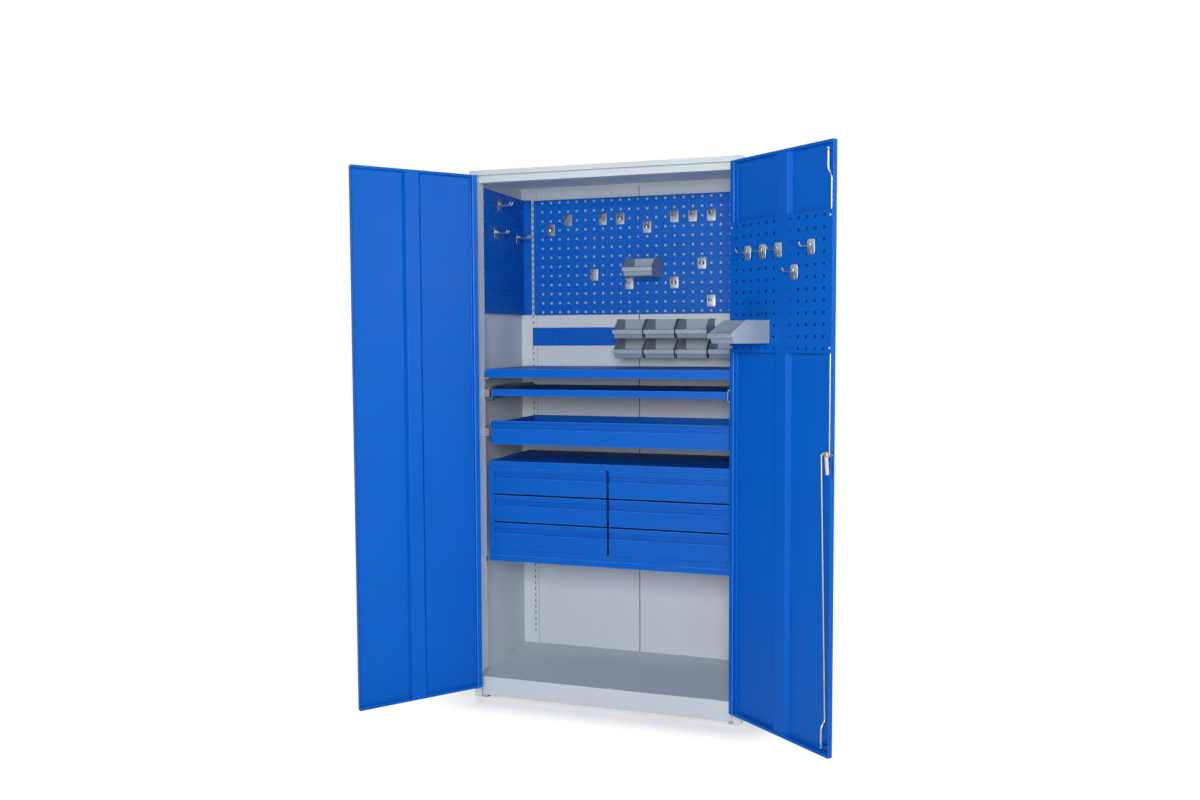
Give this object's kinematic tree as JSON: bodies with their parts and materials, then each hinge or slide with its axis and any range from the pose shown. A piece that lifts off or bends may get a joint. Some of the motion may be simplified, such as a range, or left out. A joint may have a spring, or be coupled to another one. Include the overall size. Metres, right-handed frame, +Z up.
{
  "type": "tool cabinet with doors",
  "caption": "Tall steel workshop cabinet with two hinged doors, perforated tool panels, hanging bins, a fixed and a pull-out shelf, a wide drawer and a block of small drawers.",
  "frame": {"origin": "middle of the cabinet's footprint, on the floor", "axes": "+X to the right seen from the front, +Y from the doors towards the back, +Z up"},
  "size_m": [1.6119, 0.8829, 1.95],
  "materials": {
    "blue_paint": "blue powder coat on folded steel, semi-gloss, faint orange peel",
    "carcass_paint": "light grey powder coat on folded steel, semi-matt",
    "zinc": "bright zinc plate on steel",
    "pin_steel": "turned steel pin",
    "bin_plastic": "grey moulded polypropylene",
    "black_plastic": "black moulded plastic, satin",
    "tongue_plastic": "cream coated tongue",
    "brass_screw": "yellow passivated screw head"
  },
  "bodies": {
    "cabinet": {"back_panel_left": "carcass_paint", "back_panel_right": "carcass_paint", "bin_rail": "blue_paint", "block_shelf": "blue_paint", "casing_runners": "zinc", "drawer_casing": "blue_paint", "fixed_shelf": "blue_paint", "floor_pan": "carcass_paint", "head_rail": "carcass_paint", "hinge_knuckles_fixed": "carcass_paint", "hinge_pins": "pin_steel", "left_side_panel": "carcass_paint", "levelling_feet": "black_plastic", "lower_bin_1": "bin_plastic", "lower_bin_2": "bin_plastic", "lower_bin_3": "bin_plastic", "lower_bin_4": "bin_plastic", "panel_bin": "bin_plastic", "panel_hooks": "zinc", "plinth": "carcass_paint", "rear_pegboard": "blue_paint", "right_side_panel": "carcass_paint", "roof": "carcass_paint", "shelf_clips": "zinc", "side_pegboard": "blue_paint", "slide_brackets": "zinc", "slide_outers": "zinc", "upper_bin_1": "bin_plastic", "upper_bin_2": "bin_plastic", "upper_bin_3": "bin_plastic"},
    "left_door": {"left_door_panel": "blue_paint", "left_door_stiffener": "blue_paint", "left_door_knuckles": "blue_paint"},
    "right_door": {"right_door_panel": "blue_paint", "right_door_stiffener": "blue_paint", "right_door_knuckles": "blue_paint", "door_pegboard": "blue_paint", "door_pegboard_bolts": "zinc", "door_hooks": "zinc", "door_bin": "bin_plastic", "rod_guides": "blue_paint", "lock_plate": "black_plastic"},
    "lock": {"lock_handle": "black_plastic", "lock_cam": "zinc", "lock_tongue": "tongue_plastic", "lock_screw": "brass_screw"},
    "upper_rod": {"upper_rod": "zinc"},
    "lower_rod": {"lower_rod": "zinc"},
    "pullout_shelf": {"pullout_shelf": "blue_paint", "pullout_slide_inners": "zinc"},
    "pullout_slide_middles": {"pullout_slide_middles": "zinc"},
    "wide_drawer": {"wide_drawer": "blue_paint", "wide_slide_inners": "zinc"},
    "wide_slide_middles": {"wide_slide_middles": "zinc"},
    "drawer_left_1": {"drawer_left_1": "blue_paint"},
    "drawer_left_2": {"drawer_left_2": "blue_paint"},
    "drawer_left_3": {"drawer_left_3": "blue_paint"},
    "drawer_right_1": {"drawer_right_1": "blue_paint"},
    "drawer_right_2": {"drawer_right_2": "blue_paint"},
    "drawer_right_3": {"drawer_right_3": "blue_paint"}
  },
  "joints": [
    {"name": "left_door_hinge", "type": "hinge", "parent": "cabinet", "child": "left_door", "pos_m": [-0.474, -0.2555, 0.99], "axis": [0, 0, -1], "range_deg": [-130, 45]},
    {"name": "right_door_hinge", "type": "hinge", "parent": "cabinet", "child": "right_door", "pos_m": [0.474, -0.2555, 0.99], "axis": [0, 0, 1], "range_deg": [-141, 34]},
    {"name": "lock_turn", "type": "hinge", "parent": "right_door", "child": "lock", "pos_m": [0.81715, -0.54045, 0.986], "axis": [-0.6293, -0.7771, 0], "range_deg": [0, 90]},
    {"name": "upper_rod_pivot", "type": "hinge", "parent": "lock", "child": "upper_rod", "pos_m": [0.8269, -0.55542, 0.986], "axis": [-0.6293, -0.7771, 0], "range_deg": [-93, 0]},
    {"name": "lower_rod_pivot", "type": "hinge", "parent": "lock", "child": "lower_rod", "pos_m": [0.80047, -0.53403, 0.986], "axis": [-0.6293, -0.7771, 0], "range_deg": [-93, 0]},
    {"name": "pullout_shelf_slide", "type": "slide", "parent": "cabinet", "child": "pullout_shelf", "axis": [0, -1, 0], "range_m": [0, 0.4]},
    {"name": "pullout_middle_slide", "type": "slide", "parent": "cabinet", "child": "pullout_slide_middles", "axis": [0, -1, 0], "range_m": [0, 0.2]},
    {"name": "wide_drawer_slide", "type": "slide", "parent": "cabinet", "child": "wide_drawer", "axis": [0, -1, 0], "range_m": [0, 0.4]},
    {"name": "wide_middle_slide", "type": "slide", "parent": "cabinet", "child": "wide_slide_middles", "axis": [0, -1, 0], "range_m": [0, 0.2]},
    {"name": "drawer_left_1_slide", "type": "slide", "parent": "cabinet", "child": "drawer_left_1", "axis": [0, -1, 0], "range_m": [0, 0.33]},
    {"name": "drawer_left_2_slide", "type": "slide", "parent": "cabinet", "child": "drawer_left_2", "axis": [0, -1, 0], "range_m": [0, 0.33]},
    {"name": "drawer_left_3_slide", "type": "slide", "parent": "cabinet", "child": "drawer_left_3", "axis": [0, -1, 0], "range_m": [0, 0.33]},
    {"name": "drawer_right_1_slide", "type": "slide", "parent": "cabinet", "child": "drawer_right_1", "axis": [0, -1, 0], "range_m": [0, 0.33]},
    {"name": "drawer_right_2_slide", "type": "slide", "parent": "cabinet", "child": "drawer_right_2", "axis": [0, -1, 0], "range_m": [0, 0.33]},
    {"name": "drawer_right_3_slide", "type": "slide", "parent": "cabinet", "child": "drawer_right_3", "axis": [0, -1, 0], "range_m": [0, 0.33]}
  ],
  "couplings": [
    {"joint": "upper_rod_pivot", "follows": "lock_turn", "ratio": -1.0118},
    {"joint": "lower_rod_pivot", "follows": "lock_turn", "ratio": -1.012},
    {"joint": "pullout_middle_slide", "follows": "pullout_shelf_slide", "ratio": 0.5},
    {"joint": "wide_middle_slide", "follows": "wide_drawer_slide", "ratio": 0.5}
  ]
}
